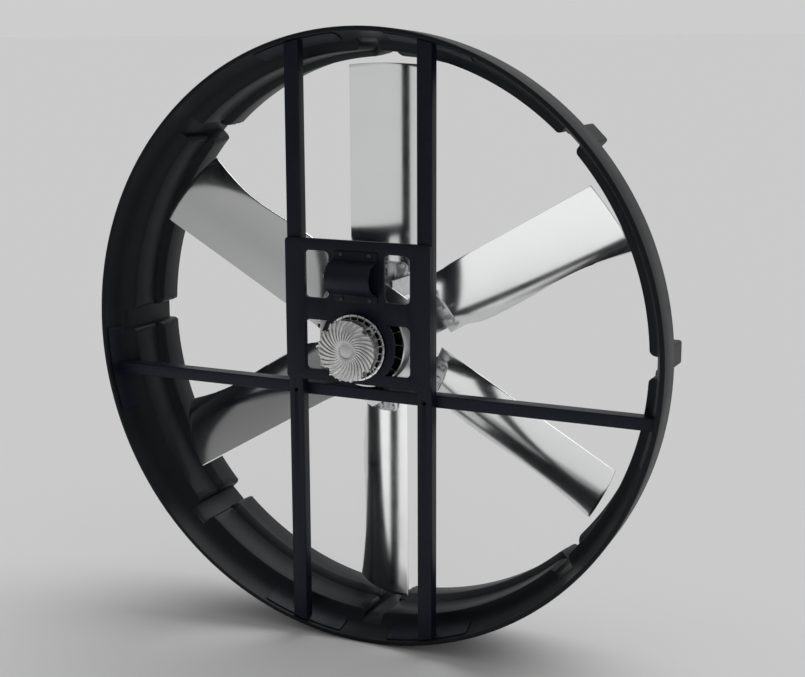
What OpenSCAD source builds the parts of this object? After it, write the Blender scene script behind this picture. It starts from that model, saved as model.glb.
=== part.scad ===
// Wall-mounted axial fan. A moulded ring with a bell mouth carries a frame of
// two upright tubes and a crossbar. A plate on the tubes holds an external
// rotor motor, and the rotor's hub carries six clamped sheet blades.
// Depths are measured from the front rim, and y = 0 is the wall plane.

/* [Ring] */
// Outer radius of the front rim
ring_r = 1000; // [960:5:1040]
// Depth from the front rim to the wall plane
band_depth = 128; // [122:1:140]
// How far the outer band draws in over its depth
band_draft = 7; // [3:1:9]
// Depth of the whole ring
ring_depth = 344; // [310:1:380]
// Wall of the moulded ring
ring_wall = 8; // [7.5:0.5:9]
// Width of the rim from its outside to the bell
rim_w = 15; // [12:1:15]
// Width of the bell from the rim to its inner edge
bell_w = 59; // [54:1:64]
// Depth of the bell
bell_depth = 100; // [94:1:106]
// How far the bore lies inside the bell's edge
bore_drop = 6; // [4:1:10]
// Depth at which the groove in the bore starts
groove_at = 206; // [180:1:216]
// How far the rear ridge lies inside the bore
ridge_drop = 12; // [8:1:16]

/* [Channels and wall fixing] */
// Number of channels across the bore
channel_n = 8; // [4:4:8]
// Width of a channel
channel_w = 68; // [58:1:76]
// How far the channels' floors lie outside the bore
channel_rise = 26; // [23:1:29]
// Distance of the wall inserts from the rim's outside
insert_in = 26; // [24:1:28]
// Radius of a wall insert's thread
insert_thread_r = 5; // [4:0.5:6]
// Outer radius of a wall insert
insert_r = 8; // [7:0.5:9]
// Length of a wall insert
insert_len = 22; // [16:1:26]

/* [Tube frame] */
// Distance of an upright tube's centre from the fan's axis
upright_x = 230.5; // [215:0.5:250]
// Width of an upright tube
upright_w = 50; // [40:1:60]
// Depth of an upright tube
upright_depth = 40; // [34:1:44]
// Depth of the uprights' front faces
upright_front = 4; // [2:0.5:8]
// Height of the crossbar's centre, below the axis
crossbar_z = -165; // [-200:1:-163]
// Height of the crossbar's section
crossbar_h = 40; // [30:1:42]
// Depth of the crossbar's section
crossbar_depth = 50; // [40:1:52]
// Wall of the tubes
tube_wall = 3; // [2:0.5:4]
// Radius of a crossing bolt's shank
cross_bolt_r = 4; // [3:0.5:5]

/* [Motor plate] */
// Half the plate's width
plate_half_w = 256; // [250:1:280]
// Height of the plate's upper edge
plate_top = 338.6; // [325:1:360]
// Height of the plate's lower edge
plate_bottom = -121.5; // [-135:0.5:-118]
// Thickness of the plate
plate_t = 12.8; // [10:0.2:16]
// Half width at a window's outer side
window_out = 187; // [180:1:192]
// Half width at an upper window's inner side
window_in = 98; // [90:1:110]
// Lower edge of the upper windows
window_up_z0 = 148; // [145:1:170]
// Upper edge of the upper windows
window_up_z1 = 301; // [280:1:306]
// Lower edge of the lower windows
window_low_z0 = -86; // [-92:1:-70]
// Upper edge of the lower windows
window_low_z1 = 77; // [60:1:90]
// Radius of the round web kept about the motor
web_r = 131; // [118:1:140]

/* [Saddle bracket] */
// Width of the saddle along the tube it can hold
saddle_w = 154; // [120:1:170]
// Height of the saddle's centre above the axis
saddle_z = 224; // [215:1:228]
// Outer radius of the saddle's arch
saddle_r = 54; // [46:1:58]
// How far the arch stands out from the plate
saddle_out = 70; // [66:1:84]
// Sheet of the saddle
saddle_t = 5; // [3:0.5:6]

/* [Motor] */
// How far the mounting flange reaches past the housing
flange_reach = 21.5; // [19:0.5:27]
// Height of the flange on the plate
flange_h = 18; // [16:0.5:22]
// Outer radius of the housing's wall
housing_r = 85; // [82:0.5:88]
// Length of the housing in front of the flange
housing_len = 29; // [26:1:40]
// Height of the cap's fins
fin_h = 23; // [15:1:30]
// Radius reached by the longer fins
fin_r = 103; // [99:0.5:106]
// Number of fins
fin_n = 32; // [24:4:36]
// Outer radius of the stator
stator_r = 84; // [80:0.5:86]
// Radial gap between stator and magnets
air_gap = 0.8; // [0.5:0.1:1.5]
// Radius of the shaft
shaft_r = 15; // [12:0.5:17]
// Outer radius of the bearings
bearing_r = 31; // [28:0.5:32]
// Width of the bearings
bearing_w = 16; // [12:0.5:18]

/* [Hub] */
// Outer radius of the hub's rim
hub_r = 142; // [140:0.5:142]
// Depth of the rim's front edge
hub_front = 50; // [48:0.5:58]
// Depth of the rim's rear edge
hub_back = 214; // [206:1:224]
// Number of ribs across the hub's pocket
rib_n = 18; // [12:6:24]
// Half the distance across the six-sided flange
hex_half = 190; // [175:1:205]

/* [Blades] */
// Gap between the blade tips and the bore
tip_gap = 35; // [28:1:46]
// Distance of the blades' roots from the hub's rim
root_reach = 58; // [53:1:64]
// Distance of the leading edge from the blade's centre line
lead_s = 100.5; // [96:0.5:106]
// Distance of the trailing edge from the blade's centre line
trail_s = 97; // [90:0.5:100]
// Depth of the leading edge
lead_depth = 154; // [150:0.5:160]
// Slope of the blade's front part, depth per width
blade_slope = 0.277; // [0.2:0.01:0.32]
// Extra depth of the trailing edge at the tip
tail_drop = 58; // [34:1:64]
// Sheet of the blades
blade_t = 4; // [3:0.5:5]
// Thickness of the clamp plates
clamp_t = 6; // [5:0.5:8]
// Thickness of the hub's arms behind the blades
arm_t = 13; // [12:1:18]

/* [Hidden] */

// Sides of round surfaces, how far a cut runs past its face, and a web stops short of one
round_n = 128;
small_n = 48;
over = 5;
web_step = 1;
seat_gap = 0.3;

// Ring profile
rim_round = 6;
edge_turn = 6;
edge_run = 4;
bore_flare = 15;
groove_w = 10;
groove_deep = 2;
ridge_run = 28;
rear_flare = 10;
bell_n = 12;
bell_edge_r = ring_r - rim_w - bell_w;
bore_r = bell_edge_r - bore_drop;
ridge_r = bore_r - ridge_drop;
channel_r = bore_r + channel_rise;
insert_circle_r = ring_r - insert_in;
tip_r = bore_r - tip_gap;
blank_r = ridge_r - 4 * channel_w / 5;
bell_c = bell_edge_r - edge_turn;
bell_a = ring_r - rim_w - bell_c;
bell_end = acos(edge_turn / bell_a);
band_in_r = ring_r - ring_wall - band_draft;
bell_back_start = acos((ring_r - ring_wall - band_draft / 7 - bell_c) / (bell_a + ring_wall));
groove_end = groove_at + groove_w;
ridge_at = groove_end + ridge_run;
groove_r = bore_r + bore_flare + groove_deep;
rear_r = ridge_r + rear_flare;

// Channels: the floor runs forward to a short flare in the bell
lug_r = channel_r + ring_wall;
flare_run = 22;
flare_rise = 10;
channel_front = bell_depth;
insert_boss_w = 44;

// Tube ends
end_plate_t = 4;
end_plate_span = 17;
end_plate_t0 = 8;
end_plate_t1 = 50;
stud_r = 4;
stud_circle_r = bell_c + bell_a * cos(45);
stud_step = 6.4;
stud_len = 40;
nut_r = 7.5;
nut_h = 7;
nut_boss_r = 10;
nut_seat = bell_depth + ring_wall / 4;
end_off = end_plate_t + 2 * seat_gap;
upright_angle = acos(upright_x / (bell_c + bell_a * cos(20)));
crossbar_angle = asin(crossbar_z / (bell_c + bell_a * cos(45)));
end_angles = [upright_angle, 180 - upright_angle, 180 + upright_angle, -upright_angle,
    crossbar_angle, 180 - crossbar_angle];

// Crossing bolts sit on the rear wall inside the uprights
cross_head_r = 6.5;
cross_head_h = 8;
cross_access_r = 7;
upright_back = upright_front + upright_depth;
crossbar_back = upright_back + crossbar_depth;
cross_nut_r = 8;
cross_nut_h = 7;

// Motor plate
plate_front = upright_front - plate_t;
plate_corner = 12;
window_corner = 18;
spigot_r = 60;
plate_bolt_r = 4;
plate_bolt_head_r = 7;
plate_bolt_head_h = 6;
plate_bolt_bite = 9;
plate_bolt_z = [plate_bottom + 62, plate_top - 38];

// Saddle bracket
saddle_foot = 81;
saddle_arc_n = 14;
saddle_fillet = saddle_out - saddle_r - saddle_t;
saddle_screw_x = 50;
saddle_screw_z = 71;
screw_r = 3;
screw_head_r = 6;
screw_head_h = 3.5;
screw_bite = 8;

// Motor flange, from its front face to the plate, and the tube that carries the stator
flange_r = housing_r + flange_reach;
flange_front = plate_front - flange_h;
flange_rim_w = 7;
flange_floor_t = 5;
flange_rib_n = 24;
flange_rib_t = 2.5;
flange_wall = 9;
flange_core_t = 8;
bearing_step = 3;
tube_r = bearing_r + 7;
mount_circle_r = flange_r - 11;
mount_lug_r = 12;
mount_bolt_r = 2.5;
mount_head_r = 4.25;
mount_head_h = 5;
mount_step = 3.6;
mount_bite = 9;
mount_lug_drop = 3;

// Housing and cap
housing_front = flange_front - housing_len;
housing_wall = 5;
column_r = 6;
column_n = 24;
ledge_w = 6;
ledge_t = 4;
ledge_at = housing_front + housing_len / 2;
post_circle_r = housing_r - housing_wall - 8;
post_r = 7;
post_web = 11;
cap_screw_r = 2;
cap_screw_head_r = 3.5;
cap_screw_head_h = 4;
cap_screw_bite = 10;
cap_t = 6;
cap_r = fin_r - 7;
cap_front = housing_front - cap_t;
fin_tip = cap_front - fin_h;
fin_in_r = 22;
fin_t = 2.6;
fin_short = 5;
fin_sweep = 38;
fin_steps = 6;
cap_disc_r = 30;
cap_disc_drop = 5;
notch_r = 10;
cap_skirt_h = 3;

// Cable gland on the side of the housing, between the cap's skirt and the ledge
gland_angle = 180 + 1.5 * 360 / column_n;
gland_r = 5.5;
gland_len = 30;
gland_nut_r = 7;
gland_bore_r = 3;
gland_depth = housing_front + housing_len / 4;

// Drive board
board_t = 2;
board_part_r = 9;
board_part_h = 8;
board_part_circle = 40;

// Stator, windings, bearings, shaft and rotor
bearing_front_at = plate_front + 3;
stator_at = upright_front + 10;
stator_len = 50;
rear_bearing_gap = 46;
bearing_rear_at = bearing_front_at + bearing_w + rear_bearing_gap;
tube_back = bearing_rear_at + bearing_w;
yoke_w = 10;
tooth_n = 12;
tooth_start = 4;
tooth_w = 14;
tooth_head = 8;
slot_open = 6;
coil_t = 5;
coil_over = 8;
coil_gap = 0.3;
ring_groove = 3;
shaft_nose = 6;
shaft_run = 0.02;
magnet_t = 5;
magnet_in_r = stator_r + air_gap;
drum_in_r = magnet_in_r + magnet_t;
drum_t = 5;
drum_r = drum_in_r + drum_t;
drum_front = stator_at;
drum_floor = tube_back + 3;
drum_back = drum_floor + 6;
drum_boss_r = shaft_r + 9;
drum_boss_len = 16;
shaft_back = drum_back + drum_boss_len;
bearing_ball_n = 9;

// Hub
hub_rim_w = 6;
hub_inner_w = 13;
hub_floor_t = 8;
rib_t = 3;
hub_web_t = 7;
hex_front = crossbar_back + 4;
hex_t = 8;
hub_screw_circle = 70;
hub_screw_r = 4;
hub_screw_head_r = 6.5;
hub_screw_head_h = 6;
cheek_t = 7;
cheek_in = hub_r - hub_rim_w / 2;

// One pressed section across the whole blade, which the trailing edge cuts off at each station
root_hold = 0.09;
station_shares = [0, root_hold, 0.16, 0.3, 0.44, 0.58, 0.73, 0.87, 1];
trail_shares = [0.95, 0.95, 1, 1.01, 1, 1, 1.07, 1.23, 1.41];
tail_power = 3;
tip_width = lead_s + trail_s * trail_shares[len(trail_shares) - 1];
tail_shares = [for (share = trail_shares) pow((lead_s + trail_s * share) / tip_width, tail_power)];
chord_n = 10;
blade_n = 6;
root_r = hub_r + root_reach;
hold_r = root_r + root_hold * (tip_r - root_r);

// Clamps
clamp_out_r = root_r + 50;
clamp_in_r = hub_r + 8;
clamp_lead = 60;
clamp_trail = -72;
clamp_in_share = 0.55;
clamp_corner = 12;
clamp_shoulder = root_r + 10;
clamp_bow = 5;
clamp_bolt_r = 4;
clamp_head_r = 7;
clamp_head_h = 5;
clamp_sink = 1.5;
clamp_row = root_r + 32;
clamp_spots = [[clamp_row, -56], [clamp_row, -7], [clamp_row, 40], [clamp_in_r + 13, -30]];
arm_front_r = root_r - 2 * seat_gap;
arm_lead = clamp_lead + 2;
arm_trail = clamp_trail - 2;
clamp_bite = clamp_t + blade_t + arm_t + 2;

// Everything is drawn in depths behind the front rim, then set on the wall plane
module from_rim() {
    translate([0, -band_depth, 0]) children();
}

module rod(r, d0, d1, n = round_n) {
    translate([0, d0, 0])
        rotate([-90, 0, 0])
            cylinder(h = d1 - d0, r = r, $fn = n);
}

module pipe(r, r_in, d0, d1) {
    difference() {
        rod(r, d0, d1);
        rod(r_in, d0 - over, d1 + over);
    }
}

module turn(angle) {
    rotate([0, -angle, 0]) children();
}

module around(n, start = 0) {
    for (i = [0 : n - 1]) turn(start + i * 360 / n) children();
}

module revolve(pts) {
    rotate([-90, 0, 0]) rotate_extrude($fn = round_n) polygon(pts);
}

module block(x, d, z) {
    translate([x[0], d[0], z[0]]) cube([x[1] - x[0], d[1] - d[0], z[1] - z[0]]);
}

// Flat outline in x and z, given a depth
module slab(d0, d1) {
    translate([0, d1, 0]) rotate([90, 0, 0]) linear_extrude(height = d1 - d0) children();
}

module rounded(x, z, r) {
    translate([x[0] + r, z[0]]) square([x[1] - x[0] - 2 * r, z[1] - z[0]]);
    translate([x[0], z[0] + r]) square([x[1] - x[0], z[1] - z[0] - 2 * r]);
    for (u = [x[0] + r, x[1] - r], v = [z[0] + r, z[1] - r])
        translate([u, v]) circle(r = r, $fn = small_n);
}

// Points along the bell, moved in towards the axis by off
function bell_points(off, t0, t1, n) = [for (i = [0 : n]) let (t = t0 + (t1 - t0) * i / n)
    [bell_c + (bell_a - off) * cos(t), (bell_depth - off) * sin(t)]];

ring_bore_points = concat(
    bell_points(0, 0, bell_end, bell_n),
    [[bore_r, bell_depth + edge_run], [bore_r + bore_flare, groove_at],
     [groove_r, groove_at + groove_w / 2], [bore_r + bore_flare, groove_end],
     [ridge_r, ridge_at], [rear_r, ring_depth]]);

ring_blank_points = concat(
    [[blank_r, 0], [ring_r - rim_round, 0], [ring_r, rim_round],
     [ring_r - band_draft, band_depth], [band_in_r, band_depth]],
    bell_points(-ring_wall, bell_back_start, bell_end, bell_n),
    [[bore_r + ring_wall, bell_depth + ring_wall + edge_run], [groove_r + ring_wall, groove_at],
     [groove_r + ring_wall, groove_end], [ridge_r + ring_wall, ridge_at],
     [rear_r + ring_wall, ring_depth], [blank_r, ring_depth]]);

ring_void_points = concat(
    [[blank_r - over, -over], [ring_r - rim_w, -over]],
    ring_bore_points,
    [[rear_r, ring_depth + over], [blank_r - over, ring_depth + over]]);

module channel_cut() {
    half = channel_w / 2;
    translate([0, 0, -half])
        linear_extrude(height = channel_w)
            polygon([[blank_r, channel_front - flare_run],
                [channel_r + flare_rise, channel_front - flare_run],
                [channel_r, channel_front], [channel_r, ring_depth + over],
                [blank_r, ring_depth + over]]);
}

module end_spots() {
    for (a = end_angles, step = [-stud_step, stud_step])
        turn(a + step) translate([stud_circle_r, 0, 0]) children();
}

module ring_shroud() {
    half = (channel_w + ring_wall) / 2;
    boss_half = insert_boss_w / 2;
    color("#1b1e20") from_rim() difference() {
        union() {
            revolve(ring_blank_points);
            around(channel_n) {
                block([ridge_r, lug_r], [bell_depth - ring_wall, ring_depth], [-half, half]);
                block([channel_r, band_in_r + ring_wall / 2],
                    [bell_depth, band_depth], [-boss_half, boss_half]);
            }
            end_spots() rod(nut_boss_r, bell_depth / 2, nut_seat, small_n);
        }
        revolve(ring_void_points);
        around(channel_n) {
            channel_cut();
            translate([insert_circle_r, 0, 0])
                rod(insert_r, band_depth - insert_len, band_depth + over, small_n);
        }
        end_spots() rod(stud_r, 0, nut_seat + over, small_n);
    }
}

module wall_inserts() {
    color("#b08d4a") from_rim() around(channel_n) translate([insert_circle_r, 0, 0])
        difference() {
            rod(insert_r, band_depth - insert_len, band_depth, small_n);
            rod(insert_thread_r, band_depth - insert_len - over, band_depth + over, small_n);
        }
}

// Curved plates welded to the tube ends, with studs through the bell
module end_plates() {
    outer = bell_points(seat_gap, end_plate_t0, end_plate_t1, bell_n);
    inner = bell_points(seat_gap + end_plate_t, end_plate_t1, end_plate_t0, bell_n);
    stud_at = (bell_depth - seat_gap)
        * sin(acos((stud_circle_r - bell_c) / (bell_a - seat_gap))) - end_plate_t / 4;
    color("#202426") from_rim() {
        for (a = end_angles) turn(a) rotate([-90, 0, 0]) rotate([0, 0, -end_plate_span / 2])
            rotate_extrude(angle = end_plate_span, $fn = round_n) polygon(concat(outer, inner));
        end_spots() rod(stud_r, stud_at, stud_at + stud_len, small_n);
    }
}

module end_plate_nuts() {
    color("#9aa0a4") from_rim() end_spots() difference() {
        rod(nut_r, nut_seat, nut_seat + nut_h, 6);
        rod(stud_r, nut_seat - over, nut_seat + nut_h + over, small_n);
    }
}

// Room for the tubes inside the bell and the end plates
module tube_room() {
    revolve(concat([[0, 0]], bell_points(end_off, 0, 90, bell_n),
        [[bell_c, ring_depth], [0, ring_depth]]));
}

module upright() {
    half = upright_w / 2;
    color("#14181d") from_rim() difference() {
        intersection() {
            block([-half, half] + [upright_x, upright_x], [upright_front, upright_back],
                [-ring_r, ring_r]);
            tube_room();
        }
        block([tube_wall - half, half - tube_wall] + [upright_x, upright_x],
            [upright_front + tube_wall, upright_back - tube_wall], [-ring_r, ring_r]);
        translate([upright_x, 0, crossbar_z]) {
            rod(cross_access_r, 0, upright_front + tube_wall + over, small_n);
            rod(cross_bolt_r, upright_front, upright_back + over, small_n);
        }
        for (z = plate_bolt_z) translate([upright_x, 0, z])
            rod(plate_bolt_r, 0, upright_back + over, small_n);
    }
}

module right_upright() {
    upright();
}

module left_upright() {
    mirror([1, 0, 0]) upright();
}

module crossbar() {
    half = crossbar_h / 2;
    color("#14181d") from_rim() difference() {
        intersection() {
            block([-ring_r, ring_r], [upright_back, crossbar_back],
                [crossbar_z - half, crossbar_z + half]);
            tube_room();
        }
        block([-ring_r, ring_r], [upright_back + tube_wall, crossbar_back - tube_wall],
            [crossbar_z - half + tube_wall, crossbar_z + half - tube_wall]);
        for (x = [-upright_x, upright_x]) translate([x, 0, crossbar_z])
            rod(cross_bolt_r, upright_back - over, crossbar_back + over, small_n);
    }
}

module crossing_bolts() {
    seat = upright_back - tube_wall;
    color("#2a2d30") from_rim() for (x = [-upright_x, upright_x]) translate([x, 0, crossbar_z]) {
        rod(cross_head_r, seat - cross_head_h, seat, small_n);
        rod(cross_bolt_r, seat - tube_wall, crossbar_back + cross_nut_h + tube_wall, small_n);
    }
}

module crossing_nuts() {
    color("#9aa0a4") from_rim() for (x = [-upright_x, upright_x]) translate([x, 0, crossbar_z])
        difference() {
            rod(cross_nut_r, crossbar_back, crossbar_back + cross_nut_h, 6);
            rod(cross_bolt_r, crossbar_back - over, crossbar_back + cross_nut_h + over, small_n);
        }
}

module mount_spots() {
    around(4, 45) for (step = [-mount_step, mount_step])
        turn(step) translate([mount_circle_r, 0, 0]) children();
}

module saddle_spots() {
    for (x = [-saddle_screw_x, saddle_screw_x], z = [-saddle_screw_z, saddle_screw_z])
        translate([x, 0, saddle_z + z]) children();
}

module motor_plate() {
    color("#14181d") from_rim() difference() {
        slab(plate_front, upright_front) difference() {
            rounded([-plate_half_w, plate_half_w], [plate_bottom, plate_top], plate_corner);
            for (side = [0, 1]) mirror([side, 0]) {
                rounded([window_in, window_out], [window_up_z0, window_up_z1], window_corner);
                difference() {
                    rounded([spigot_r, window_out], [window_low_z0, window_low_z1],
                        window_corner);
                    circle(r = web_r, $fn = round_n);
                }
            }
            circle(r = spigot_r, $fn = round_n);
        }
        for (x = [-upright_x, upright_x], z = plate_bolt_z) translate([x, 0, z])
            rod(plate_bolt_r, upright_front - plate_bolt_bite, upright_front + over, small_n);
        saddle_spots() rod(screw_r, plate_front - over, plate_front + screw_bite, small_n);
        mount_spots() rod(mount_bolt_r, plate_front - over, plate_front + mount_bite, small_n);
    }
}

module plate_bolts() {
    color("#9aa0a4") from_rim() for (x = [-upright_x, upright_x], z = plate_bolt_z)
        translate([x, 0, z]) {
            rod(plate_bolt_head_r, upright_back, upright_back + plate_bolt_head_h, 6);
            rod(plate_bolt_r, upright_front - plate_bolt_bite,
                upright_back + plate_bolt_head_h / 2, small_n);
        }
}

function arc(u, v, r, a0, a1) = [for (i = [0 : saddle_arc_n])
    let (a = a0 + (a1 - a0) * i / saddle_arc_n) [u + r * cos(a), v + r * sin(a)]];

// The sheet is folded: foot, fillet, arch, fillet, foot
module saddle_bracket() {
    centre = saddle_t + saddle_fillet;
    bend = saddle_r + saddle_fillet;
    inner_r = saddle_r - saddle_t;
    inner_bend = saddle_fillet + saddle_t;
    outer = concat([[-saddle_foot, saddle_t]], arc(-bend, centre, saddle_fillet, -90, 0),
        arc(0, centre, saddle_r, 180, 0), arc(bend, centre, saddle_fillet, 180, 270),
        [[saddle_foot, saddle_t]]);
    inner = concat([[saddle_foot, 0]], arc(bend, centre, inner_bend, 270, 180),
        arc(0, centre, inner_r, 0, 180), arc(-bend, centre, inner_bend, 0, -90),
        [[-saddle_foot, 0]]);
    color("#14181d") from_rim() difference() {
        translate([-saddle_w / 2, plate_front, saddle_z])
            mirror([0, 1, 0]) rotate([90, 0, 90])
                linear_extrude(height = saddle_w) polygon([for (p = concat(outer, inner)) [p[1], p[0]]]);
        saddle_spots() rod(screw_r, plate_front - 2 * saddle_t, plate_front + over, small_n);
    }
}

module saddle_screws() {
    seat = plate_front - saddle_t;
    color("#2a2d30") from_rim() saddle_spots() {
        rod(screw_head_r, seat - screw_head_h, seat, small_n);
        rod(screw_r, seat - screw_head_h / 2, plate_front + screw_bite, small_n);
    }
}

// Flange casting: rim, ribs and lugs in front of the plate, tube for the stator behind it
module motor_flange() {
    core_r = housing_r + flange_rib_t;
    floor_at = plate_front - flange_floor_t;
    color("#b9bbbd") from_rim() difference() {
        union() {
            pipe(flange_r, flange_r - flange_rim_w, flange_front, plate_front);
            rod(flange_r - flange_rim_w / 2, floor_at, plate_front);
            rod(core_r, flange_front, plate_front);
            around(flange_rib_n, 180 / flange_rib_n)
                block([housing_r, flange_r - flange_rim_w / 2], [flange_front + flange_rib_t, plate_front],
                    [-flange_rib_t / 2, flange_rib_t / 2]);
            around(4, 45) translate([mount_circle_r, 0, 0])
                rod(mount_lug_r, flange_front + mount_lug_drop, plate_front, small_n);
            rod(spigot_r - seat_gap / 3, floor_at, upright_front);
            rod(tube_r, floor_at, tube_back);
        }
        rod(housing_r - flange_wall, flange_front - over, plate_front - flange_core_t);
        rod(bearing_r, plate_front - flange_core_t - over, bearing_front_at + bearing_w);
        rod(bearing_r - bearing_step, plate_front, tube_back + over);
        rod(bearing_r, bearing_rear_at, tube_back + over);
        mount_spots() {
            rod(mount_bolt_r, flange_front - over, plate_front + over, small_n);
            rod(mount_head_r, flange_front - over, flange_front + mount_lug_drop + mount_head_h,
                small_n);
        }
    }
}

module motor_mount_bolts() {
    seat = flange_front + mount_lug_drop + mount_head_h;
    color("#55595c") from_rim() mount_spots() {
        rod(mount_head_r - seat_gap, seat - mount_head_h, seat, small_n);
        rod(mount_bolt_r, seat - mount_bolt_r, plate_front + mount_bite, small_n);
    }
}

module cap_screw_spots() {
    around(4, 180 / fin_n - fin_lag(post_circle_r)) translate([post_circle_r, 0, 0]) children();
}

module motor_housing() {
    inner = housing_r - housing_wall;
    color("#b9bbbd") from_rim() difference() {
        union() {
            pipe(housing_r, inner, housing_front, flange_front);
            pipe(inner + housing_wall / 2, inner - ledge_w, ledge_at, ledge_at + ledge_t);
            difference() {
                around(column_n, 180 / column_n) translate([housing_r, 0, 0])
                    rod(column_r, housing_front + web_step, flange_front - web_step / 2, small_n);
                rod(inner + housing_wall / 2, housing_front - over, flange_front + over);
            }
            cap_screw_spots() rod(post_r, housing_front, ledge_at + ledge_t / 2, small_n);
            around(4, 180 / fin_n - fin_lag(post_circle_r))
                block([post_circle_r, inner + housing_wall / 2],
                    [housing_front + web_step, ledge_at + ledge_t / 2],
                    [-post_web / 2, post_web / 2]);
        }
        cap_screw_spots() rod(cap_screw_r, housing_front - over, housing_front + cap_screw_bite,
            small_n);
        turn(gland_angle) translate([housing_r, gland_depth, 0]) rotate([0, 90, 0])
            cylinder(h = 2 * gland_len, r = gland_r, center = true, $fn = small_n);
    }
}

// How far a fin has turned back, in degrees, at a radius
function fin_lag(r) = fin_sweep * (r - fin_in_r) / (fin_r - fin_in_r);

module fin(r_out) {
    step = (r_out - fin_in_r) / fin_steps;
    half = fin_t / 2;
    turn_rate = fin_sweep * PI / 180 / (fin_r - fin_in_r);
    line = [for (i = [0 : fin_steps]) let (r = fin_in_r + i * step, a = -fin_lag(r))
        [r * cos(a), r * sin(a), a - atan(turn_rate * r)]];
    left = [for (p = line) [p[0] - half * sin(p[2]), p[1] + half * cos(p[2])]];
    right = [for (i = [fin_steps : -1 : 0]) let (p = line[i])
        [p[0] + half * sin(p[2]), p[1] - half * cos(p[2])]];
    polygon(concat(left, right));
}

module finned_cap() {
    color("#c3c5c7") from_rim() difference() {
        union() {
            rod(cap_r, cap_front, housing_front);
            slab(fin_tip, cap_front + cap_t / 2)
                for (i = [0 : fin_n - 1]) rotate([0, 0, i * 360 / fin_n])
                    fin(i % 2 == 0 ? fin_r : fin_r - fin_short);
            rod(cap_disc_r, fin_tip + cap_disc_drop, cap_front + cap_t / 2);
            pipe(housing_r - housing_wall - seat_gap, housing_r - 2 * housing_wall,
                housing_front - cap_t / 2, housing_front + cap_skirt_h);
        }
        around(4, 45) translate([cap_r, 0, 0]) rod(notch_r, fin_tip - over,
            housing_front + over, small_n);
        cap_screw_spots() {
            rod(cap_screw_r, cap_front - over, housing_front + over, small_n);
            rod(post_r + seat_gap, housing_front, housing_front + cap_skirt_h + over, small_n);
        }
        around(4, 180 / fin_n - fin_lag(post_circle_r))
            block([post_circle_r, housing_r], [housing_front, housing_front + cap_skirt_h + over],
                [-post_r - seat_gap, post_r + seat_gap]);
    }
}

module cap_screws() {
    color("#55595c") from_rim() cap_screw_spots() {
        rod(cap_screw_head_r, cap_front - cap_screw_head_h, cap_front, small_n);
        rod(cap_screw_r, cap_front - cap_screw_r, housing_front + cap_screw_bite, small_n);
    }
}

module cable_gland() {
    inner = housing_r - housing_wall;
    color("#26292b") from_rim() turn(gland_angle) translate([0, gland_depth, 0])
        rotate([0, 90, 0]) difference() {
            union() {
                translate([0, 0, inner]) cylinder(h = gland_len, r = gland_r, $fn = small_n);
                translate([0, 0, housing_r + column_r + seat_gap])
                    cylinder(h = gland_len / 4, r = gland_nut_r, $fn = 6);
                translate([0, 0, inner + gland_len - gland_r])
                    cylinder(h = gland_r, r1 = gland_nut_r * 0.9, r2 = gland_r * 0.8, $fn = small_n);
            }
            translate([0, 0, inner - over])
                cylinder(h = gland_len + 2 * over, r = gland_bore_r, $fn = small_n);
        }
}

module drive_board() {
    seat = ledge_at + ledge_t;
    color("#2f5a3c") from_rim() {
        rod(housing_r - housing_wall - seat_gap, seat, seat + board_t);
        around(5) translate([board_part_circle, 0, 0])
            rod(board_part_r, seat - board_part_h, seat + board_t / 2, small_n);
    }
}

module stator_core() {
    head_r = stator_r - tooth_head;
    end = stator_at + stator_len;
    color("#6c7075") from_rim() {
        pipe(tube_r + yoke_w, tube_r, stator_at, end);
        difference() {
            pipe(stator_r, head_r, stator_at, end);
            around(tooth_n, tooth_start + 180 / tooth_n)
                block([head_r - over, stator_r + over], [stator_at - over, end + over],
                    [-slot_open / 2, slot_open / 2]);
        }
        around(tooth_n, tooth_start) block([tube_r + yoke_w / 2, head_r + tooth_head / 2],
            [stator_at + web_step / 2, end - web_step / 2], [-tooth_w / 2, tooth_w / 2]);
    }
}

module stator_windings() {
    coil_in = tube_r + yoke_w + coil_gap;
    coil_out = stator_r - tooth_head - coil_t / 2;
    half = tooth_w / 2 + coil_gap;
    color("#9a5a2c") from_rim() around(tooth_n, tooth_start) difference() {
        block([coil_in + coil_t, coil_out],
            [stator_at - coil_over, stator_at + stator_len + coil_over],
            [-half - coil_t, half + coil_t]);
        block([coil_in, coil_out + over], [stator_at - coil_gap, stator_at + stator_len + coil_gap],
            [-half, half]);
    }
}

// Inner race, outer race and balls. The inner race clears the balls' path
module bearing(at) {
    mid = (bearing_r + shaft_r) / 2;
    ball = (bearing_r - shaft_r) / 3.2;
    race = (bearing_r - shaft_r) / 3;
    centre = at + bearing_w / 2;
    difference() {
        pipe(bearing_r, shaft_r + shaft_run, at, at + bearing_w);
        pipe(bearing_r - race, shaft_r + race, at - over, at + bearing_w / 8);
        pipe(bearing_r - race, shaft_r + race, at + bearing_w * 7 / 8, at + bearing_w + over);
    }
    around(bearing_ball_n) translate([mid, at + ball / 2, 0]) sphere(r = ball / 2, $fn = small_n);
}

module bearing_front() {
    color("#a9adb0") from_rim() bearing(bearing_front_at);
}

module bearing_rear() {
    color("#a9adb0") from_rim() bearing(bearing_rear_at);
}

module retaining_ring() {
    color("#55595c") from_rim()
        pipe(shaft_r + ring_groove, shaft_r - ring_groove / 2, bearing_front_at - ring_groove,
            bearing_front_at - ring_groove / 2);
}

module shaft() {
    color("#a9adb0") from_rim() difference() {
        rod(shaft_r, bearing_front_at - shaft_nose, shaft_back);
        pipe(shaft_r + over, shaft_r - ring_groove / 2, bearing_front_at - ring_groove,
            bearing_front_at - ring_groove / 2);
    }
}

module hub_screw_spots() {
    around(blade_n) translate([hub_screw_circle, 0, 0]) children();
}

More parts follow.
